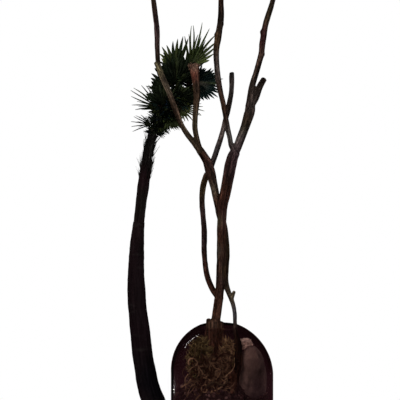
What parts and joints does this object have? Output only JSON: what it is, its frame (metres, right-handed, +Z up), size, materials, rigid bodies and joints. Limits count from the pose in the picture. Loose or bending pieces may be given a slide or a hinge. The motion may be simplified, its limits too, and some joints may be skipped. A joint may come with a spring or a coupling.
{
  "type": "tabletop tree",
  "caption": "Bare forked branch tree rising from a dark round-shouldered glass vessel of moss and stones, with a slender bowed fan palm behind it on one round base.",
  "frame": {"origin": "centre of the round base's underside", "axes": "+Z up, the front of the piece towards -Y, the palm at -X"},
  "size_m": [0.2538, 0.25, 0.7671],
  "materials": {
    "bark": "matte, streaked",
    "pale_bark": "matte",
    "palm_bark": "matte, rough",
    "fibre": "coarse fibre",
    "leaf_green": "satin",
    "dark_glass": "glossy, smoked",
    "soil": "rough",
    "moss": "fibrous",
    "stone": "smooth, honed",
    "coarse_stone": "coarse",
    "plinth_paint": "satin black lacquer",
    "felt": "felt",
    "steel": "plain",
    "dark_collar": "matte"
  },
  "bodies": {
    "base": {"base_pad": "felt", "base_plinth": "plinth_paint", "palm_stud": "steel", "palm_washer": "steel", "palm_nut": "steel", "palm_collar": "dark_collar", "collar_screw_1": "steel", "collar_screw_2": "steel", "collar_screw_3": "steel"},
    "vessel": {"glass_vessel": "dark_glass", "soil_fill": "soil", "stone_smooth": "stone", "stone_coarse": "coarse_stone", "moss_left": "moss", "moss_centre": "moss", "moss_back": "moss", "main_stem": "bark", "right_branch": "bark", "right_stub": "bark", "centre_branch": "bark", "second_stem": "bark", "left_stem": "bark", "far_left_branch": "bark", "far_left_stub": "pale_bark", "left_branch": "bark", "back_branch": "bark", "side_stick": "bark", "low_stub": "bark", "root_stump": "bark", "root_twig_1": "pale_bark", "root_twig_2": "pale_bark", "root_twig_3": "pale_bark", "pin_right_branch": "steel", "pin_second_stem": "steel", "pin_far_left_branch": "steel"},
    "palm": {"palm_foot": "dark_collar", "palm_trunk_lower": "palm_bark", "palm_trunk_upper": "palm_bark", "trunk_dowel": "steel", "crown_stem": "palm_bark", "fibre_wrap_lower": "fibre", "fibre_wrap_upper": "fibre"},
    "leaf_top_right": {"leaf_top_right": "leaf_green"},
    "leaf_top_left": {"leaf_top_left": "leaf_green"},
    "leaf_right": {"leaf_right": "leaf_green"},
    "leaf_front": {"leaf_front": "leaf_green"},
    "leaf_upper_left": {"leaf_upper_left": "leaf_green"},
    "leaf_front_right": {"leaf_front_right": "leaf_green"},
    "leaf_low_right": {"leaf_low_right": "leaf_green"},
    "leaf_front_low": {"leaf_front_low": "leaf_green"},
    "leaf_left": {"leaf_left": "leaf_green"},
    "leaf_low_front": {"leaf_low_front": "leaf_green"},
    "leaf_low_left": {"leaf_low_left": "leaf_green"},
    "leaf_foot": {"leaf_foot": "leaf_green"},
    "leaf_back_top": {"leaf_back_top": "leaf_green"},
    "leaf_back_right": {"leaf_back_right": "leaf_green"},
    "leaf_back_left": {"leaf_back_left": "leaf_green"},
    "leaf_back_low": {"leaf_back_low": "leaf_green"}
  },
  "joints": [
    {"name": "palm_turn", "type": "hinge", "parent": "base", "child": "palm", "pos_m": [-0.073, 0.055, 0.03], "axis": [0, 0, 1], "range_deg": [-12, 40]},
    {"name": "vessel_lift", "type": "slide", "parent": "base", "child": "vessel", "axis": [0, 0, 1], "range_m": [0, 0.03]},
    {"name": "leaf_top_right_bend", "type": "hinge", "parent": "palm", "child": "leaf_top_right", "pos_m": [-0.03736, 0.055, 0.59326], "axis": [-0.8142, -0.0234, 0.5801], "range_deg": [-8, 12]},
    {"name": "leaf_top_left_bend", "type": "hinge", "parent": "palm", "child": "leaf_top_left", "pos_m": [-0.04979, 0.05541, 0.5797], "axis": [-0.9648, 0.0965, -0.2447], "range_deg": [-8, 12]},
    {"name": "leaf_right_bend", "type": "hinge", "parent": "palm", "child": "leaf_right", "pos_m": [-0.03935, 0.05373, 0.58073], "axis": [0.2889, 0.4154, 0.8625], "range_deg": [-8, 12]},
    {"name": "leaf_front_bend", "type": "hinge", "parent": "palm", "child": "leaf_front", "pos_m": [-0.05437, 0.05051, 0.56674], "axis": [-0.9906, -0.1358, 0.0191], "range_deg": [-8, 12]},
    {"name": "leaf_upper_left_bend", "type": "hinge", "parent": "palm", "child": "leaf_upper_left", "pos_m": [-0.06191, 0.05423, 0.55992], "axis": [-0.7589, -0.0539, -0.649], "range_deg": [-8, 12]},
    {"name": "leaf_front_right_bend", "type": "hinge", "parent": "palm", "child": "leaf_front_right", "pos_m": [-0.05577, 0.05077, 0.55392], "axis": [-0.6074, -0.5256, 0.5957], "range_deg": [-3, 10]},
    {"name": "leaf_low_right_bend", "type": "hinge", "parent": "palm", "child": "leaf_low_right", "pos_m": [-0.06007, 0.053, 0.54292], "axis": [0.5043, 0.5023, 0.7024], "range_deg": [-8, 9]},
    {"name": "leaf_front_low_bend", "type": "hinge", "parent": "palm", "child": "leaf_front_low", "pos_m": [-0.07159, 0.04999, 0.53825], "axis": [-0.9863, 0.0257, -0.163], "range_deg": [-6, 6]},
    {"name": "leaf_left_bend", "type": "hinge", "parent": "palm", "child": "leaf_left", "pos_m": [-0.0761, 0.05363, 0.53627], "axis": [-0.4724, -0.1825, -0.8623], "range_deg": [-6, 10]},
    {"name": "leaf_low_front_bend", "type": "hinge", "parent": "palm", "child": "leaf_low_front", "pos_m": [-0.07213, 0.05152, 0.52284], "axis": [0.7248, 0.6003, 0.338], "range_deg": [-6, 9]},
    {"name": "leaf_low_left_bend", "type": "hinge", "parent": "palm", "child": "leaf_low_left", "pos_m": [-0.08911, 0.05187, 0.51093], "axis": [-0.1997, -0.2696, -0.942], "range_deg": [-6, 10]},
    {"name": "leaf_foot_bend", "type": "hinge", "parent": "palm", "child": "leaf_foot", "pos_m": [-0.08106, 0.04992, 0.5094], "axis": [0.8905, 0.4466, -0.0871], "range_deg": [-6, 10]},
    {"name": "leaf_back_top_bend", "type": "hinge", "parent": "palm", "child": "leaf_back_top", "pos_m": [-0.04285, 0.05919, 0.58481], "axis": [0.9645, -0.2372, -0.116], "range_deg": [-8, 12]},
    {"name": "leaf_back_right_bend", "type": "hinge", "parent": "palm", "child": "leaf_back_right", "pos_m": [-0.05149, 0.05878, 0.56049], "axis": [-0.5931, 0.7349, -0.3288], "range_deg": [-8, 12]},
    {"name": "leaf_back_left_bend", "type": "hinge", "parent": "palm", "child": "leaf_back_left", "pos_m": [-0.06375, 0.0588, 0.55417], "axis": [-0.5974, -0.7061, 0.3802], "range_deg": [-8, 12]},
    {"name": "leaf_back_low_bend", "type": "hinge", "parent": "palm", "child": "leaf_back_low", "pos_m": [-0.07227, 0.06022, 0.52737], "axis": [-0.9416, 0.3311, 0.0621], "range_deg": [-8, 12]}
  ]
}
